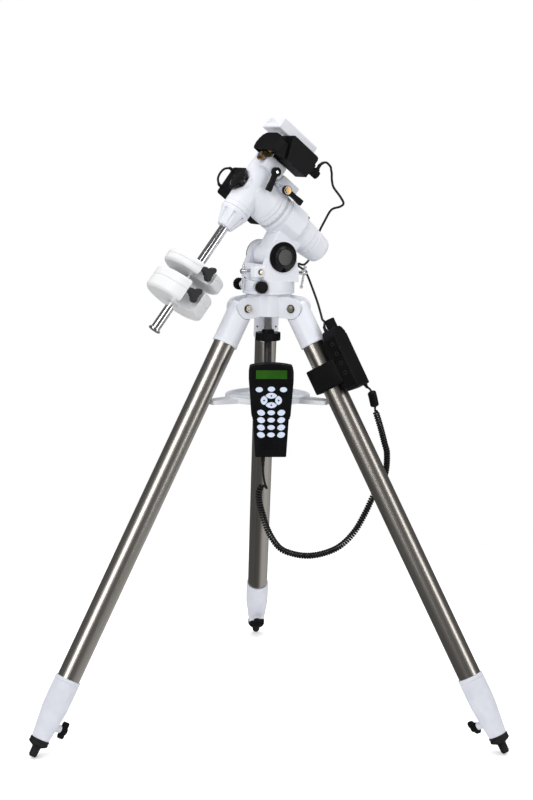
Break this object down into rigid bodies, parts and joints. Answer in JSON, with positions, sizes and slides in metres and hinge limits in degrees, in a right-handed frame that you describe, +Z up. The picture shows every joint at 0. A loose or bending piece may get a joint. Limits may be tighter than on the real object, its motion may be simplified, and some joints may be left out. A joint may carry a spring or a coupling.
{
  "type": "telescope equatorial mount",
  "caption": "German equatorial telescope mount with drive motors, counterweights and hand control on a steel-legged tripod with an accessory tray.",
  "frame": {"origin": "on the floor, under the middle of the box round the three feet", "axes": "+Z up; +X to the right seen from the hand control's side; +Y away from the hand control"},
  "size_m": [0.9188, 0.8027, 1.2039],
  "materials": {
    "white_paint": "satin white powder coat",
    "brushed_steel": "brushed stainless tube",
    "chrome": "polished chrome plate",
    "brass": "machined brass",
    "black_plastic": "fine-textured black moulding",
    "gloss_black": "glossy black cap",
    "black_rubber": "black rubber",
    "tray_plastic": "light grey moulded tray",
    "key_rubber": "pale silicone keys",
    "machined_steel": "turned steel"
  },
  "bodies": {
    "tripod": {"tripod_hub": "white_paint", "accessory_tray": "tray_plastic", "control_box": "black_plastic", "handset": "black_plastic", "handset_cord": "black_rubber", "dec_cable_lower": "black_rubber", "leg_head_left": "white_paint", "leg_tube_left": "brushed_steel", "leg_clamp_left": "white_paint", "leg_head_right": "white_paint", "leg_tube_right": "brushed_steel", "leg_clamp_right": "white_paint", "leg_head_rear": "white_paint", "leg_tube_rear": "brushed_steel", "leg_clamp_rear": "white_paint"},
    "clamp_rod": {"clamp_rod": "black_plastic"},
    "tray_nut": {"tray_nut": "black_plastic"},
    "keypad": {"keypad": "key_rubber"},
    "azimuth": {"azimuth_base": "white_paint", "altitude_bolt": "gloss_black", "altitude_cap": "gloss_black"},
    "azimuth_screw_near": {"azimuth_screw_near": "black_plastic"},
    "azimuth_screw_far": {"azimuth_screw_far": "black_plastic"},
    "altitude": {"ra_housing": "white_paint", "ra_cap": "white_paint", "ra_worm_wheel": "brass", "dec_cable_upper": "black_rubber"},
    "latitude_bolt_north": {"latitude_bolt_north": "chrome"},
    "latitude_bolt_south": {"latitude_bolt_south": "chrome"},
    "ra": {"dec_housing": "white_paint", "ra_shaft": "machined_steel", "polar_cap": "gloss_black", "dec_motor_cover": "black_plastic", "dec_gear_cover": "black_plastic", "ra_motor_cover": "black_plastic", "dec_cable_plug_end": "black_rubber", "ra_cable": "black_rubber"},
    "ra_worm": {"ra_worm": "machined_steel"},
    "dec_worm": {"dec_worm": "machined_steel"},
    "ra_clutch_lever": {"ra_clutch_lever": "black_plastic"},
    "dec_clutch_lever": {"dec_clutch_lever": "black_plastic"},
    "dec": {"dec_shaft": "machined_steel", "dec_worm_wheel": "brass", "saddle": "white_paint", "shaft_bell": "white_paint", "counterweight_bar": "chrome"},
    "saddle_screw": {"saddle_screw": "black_plastic"},
    "weight_upper": {"weight_upper": "white_paint"},
    "weight_lower": {"weight_lower": "white_paint"},
    "weight_knob_upper": {"weight_knob_upper": "black_plastic"},
    "weight_knob_lower": {"weight_knob_lower": "black_plastic"},
    "leg_slide_left": {"leg_extension_left": "brushed_steel", "foot_left": "black_rubber"},
    "leg_lock_screw_left": {"leg_lock_screw_left": "black_plastic"},
    "leg_slide_right": {"leg_extension_right": "brushed_steel", "foot_right": "black_rubber"},
    "leg_lock_screw_right": {"leg_lock_screw_right": "black_plastic"},
    "leg_slide_rear": {"leg_extension_rear": "brushed_steel", "foot_rear": "black_rubber"},
    "leg_lock_screw_rear": {"leg_lock_screw_rear": "black_plastic"}
  },
  "joints": [
    {"name": "azimuth", "type": "hinge", "parent": "tripod", "child": "azimuth", "pos_m": [0, -0.13125, 0.87], "axis": [0, 0, 1], "range_deg": [-8, 8], "deforming": ["dec_cable_lower"]},
    {"name": "azimuth_screw_near", "type": "slide", "parent": "azimuth", "child": "azimuth_screw_near", "axis": [0.454, -0.891, 0], "range_m": [-0.00573, 0.00573]},
    {"name": "azimuth_screw_far", "type": "slide", "parent": "azimuth", "child": "azimuth_screw_far", "axis": [0.454, -0.891, 0], "range_m": [-0.00573, 0.00573]},
    {"name": "altitude", "type": "hinge", "parent": "azimuth", "child": "altitude", "pos_m": [0.00508, -0.12866, 0.9358], "axis": [-0.454, 0.891, 0], "range_deg": [-12, 12], "deforming": ["dec_cable_upper"]},
    {"name": "latitude_bolt_north", "type": "slide", "parent": "azimuth", "child": "latitude_bolt_north", "axis": [-0.891, -0.454, 0], "range_m": [-0.00613, 0.00613]},
    {"name": "latitude_bolt_south", "type": "slide", "parent": "azimuth", "child": "latitude_bolt_south", "axis": [-0.891, -0.454, 0], "range_m": [-0.00759, 0.00759]},
    {"name": "ra", "type": "hinge", "parent": "altitude", "child": "ra", "pos_m": [-0.03798, -0.1506, 1.06621], "axis": [-0.7012, -0.3573, 0.617], "range_deg": [-90, 90], "deforming": ["dec_cable_plug_end"]},
    {"name": "ra_worm", "type": "hinge", "parent": "ra", "child": "ra_worm", "pos_m": [0.01645, -0.12287, 1.06634], "axis": [0.454, -0.891, 0], "continuous": true},
    {"name": "ra_clutch_lever", "type": "hinge", "parent": "ra", "child": "ra_clutch_lever", "pos_m": [0.03123, -0.15518, 1.06523], "axis": [0.454, -0.891, 0], "range_deg": [0, 60]},
    {"name": "dec_clutch_lever", "type": "hinge", "parent": "ra", "child": "dec_clutch_lever", "pos_m": [0.00905, -0.17209, 1.10072], "axis": [0.454, -0.891, 0], "range_deg": [-12, 33]},
    {"name": "dec", "type": "hinge", "parent": "ra", "child": "dec", "pos_m": [-0.03798, -0.1506, 1.06621], "axis": [0.5498, 0.2801, 0.7869], "continuous": true},
    {"name": "dec_worm", "type": "hinge", "parent": "ra", "child": "dec_worm", "pos_m": [0.00698, -0.16002, 1.11185], "axis": [-0.7012, -0.3573, 0.617], "continuous": true},
    {"name": "saddle_screw", "type": "hinge", "parent": "dec", "child": "saddle_screw", "pos_m": [0.05246, -0.10452, 1.16325], "axis": [0.454, -0.891, 0], "range_deg": [0, 360]},
    {"name": "weight_upper", "type": "slide", "parent": "dec", "child": "weight_upper", "axis": [0.5498, 0.2801, 0.7869], "range_m": [-0.014, 0.085]},
    {"name": "weight_lower", "type": "slide", "parent": "dec", "child": "weight_lower", "axis": [0.5498, 0.2801, 0.7869], "range_m": [-0.055, 0.014]},
    {"name": "weight_knob_upper", "type": "hinge", "parent": "weight_upper", "child": "weight_knob_upper", "pos_m": [-0.14602, -0.20565, 0.91158], "axis": [0.454, -0.891, 0], "range_deg": [0, 360]},
    {"name": "weight_knob_lower", "type": "hinge", "parent": "weight_lower", "child": "weight_knob_lower", "pos_m": [-0.17295, -0.21937, 0.87303], "axis": [0.454, -0.891, 0], "range_deg": [0, 360]},
    {"name": "leg_slide_left", "type": "slide", "parent": "tripod", "child": "leg_slide_left", "axis": [-0.4197, -0.2423, -0.8747], "range_m": [0, 0.36]},
    {"name": "leg_lock_screw_left", "type": "hinge", "parent": "tripod", "child": "leg_lock_screw_left", "pos_m": [-0.42557, -0.37696, 0.06062], "axis": [-0.7575, -0.4374, 0.4847], "range_deg": [0, 360]},
    {"name": "leg_slide_right", "type": "slide", "parent": "tripod", "child": "leg_slide_right", "axis": [0.4197, -0.2423, -0.8747], "range_m": [0, 0.36]},
    {"name": "leg_lock_screw_right", "type": "hinge", "parent": "tripod", "child": "leg_lock_screw_right", "pos_m": [0.42557, -0.37696, 0.06062], "axis": [0.7575, -0.4374, 0.4847], "range_deg": [0, 360]},
    {"name": "leg_slide_rear", "type": "slide", "parent": "tripod", "child": "leg_slide_rear", "axis": [0, 0.4847, -0.8747], "range_m": [0, 0.36]},
    {"name": "leg_lock_screw_rear", "type": "hinge", "parent": "tripod", "child": "leg_lock_screw_rear", "pos_m": [0, 0.36016, 0.06062], "axis": [0, 0.8747, 0.4847], "range_deg": [0, 360]},
    {"name": "clamp_rod", "type": "hinge", "parent": "tripod", "child": "clamp_rod", "pos_m": [0, -0.13125, 0.78], "axis": [0, 0, 1], "range_deg": [0, 360]},
    {"name": "tray_nut", "type": "hinge", "parent": "tripod", "child": "tray_nut", "pos_m": [0, -0.13125, 0.64], "axis": [0, 0, 1], "range_deg": [0, 360]},
    {"name": "keypad", "type": "slide", "parent": "tripod", "child": "keypad", "axis": [0, 1, 0], "range_m": [0, 0.0005], "stiffness_N_per_m": 600}
  ],
  "couplings": [
    {"joint": "azimuth_screw_near", "follows": "azimuth", "m_per_rad": -0.041},
    {"joint": "azimuth_screw_far", "follows": "azimuth", "m_per_rad": -0.041},
    {"joint": "latitude_bolt_north", "follows": "altitude", "m_per_rad": 0.0292},
    {"joint": "latitude_bolt_south", "follows": "altitude", "m_per_rad": 0.0362},
    {"joint": "ra_worm", "follows": "ra", "ratio": 144},
    {"joint": "dec_worm", "follows": "dec", "ratio": 144}
  ]
}
